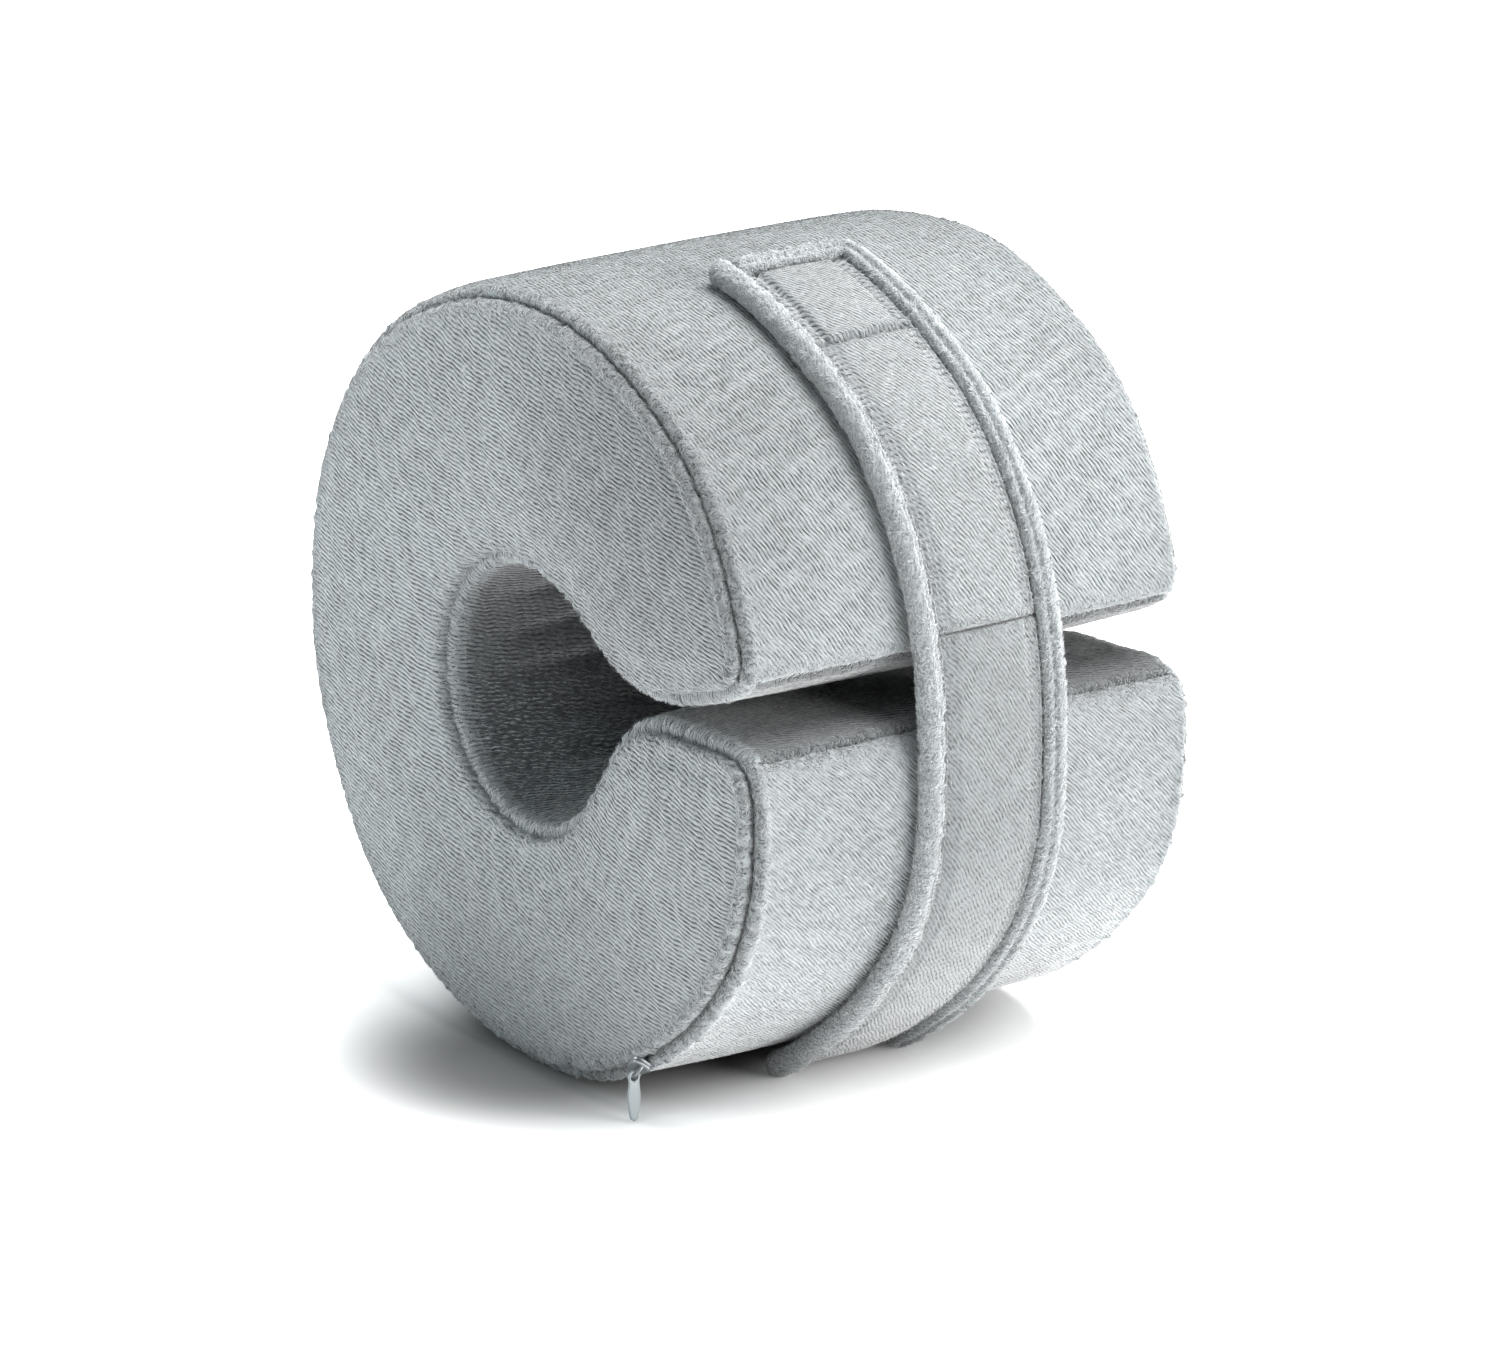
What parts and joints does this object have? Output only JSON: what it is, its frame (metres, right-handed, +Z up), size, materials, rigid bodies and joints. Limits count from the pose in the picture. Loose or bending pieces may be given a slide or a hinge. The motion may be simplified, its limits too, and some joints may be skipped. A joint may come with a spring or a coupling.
{
  "type": "leg elevation pillow",
  "caption": "Cylindrical foam cushion on its side with a round leg hole, a slit to one side and a soft strap across the slit, in a zipped plush cover.",
  "frame": {"origin": "on the floor under the cushion's axis, midway between its two flat faces", "axes": "+Z up, +X out of the slit, +Y along the leg hole, away from the zipped face"},
  "size_m": [0.2488, 0.1669, 0.2466],
  "materials": {
    "plush": "short-pile grey plush",
    "strap_plush": "short-pile grey plush",
    "binding_plush": "curly grey plush",
    "slider_metal": "satin grey",
    "pull_paint": "satin grey paint"
  },
  "bodies": {
    "root": {"cushion": "plush", "strap_panel_upper": "strap_plush", "strap_panel_lower": "strap_plush", "strap_binding_front": "binding_plush", "strap_binding_back": "binding_plush", "zip_slider": "slider_metal", "zip_pull": "pull_paint"}
  },
  "joints": []
}
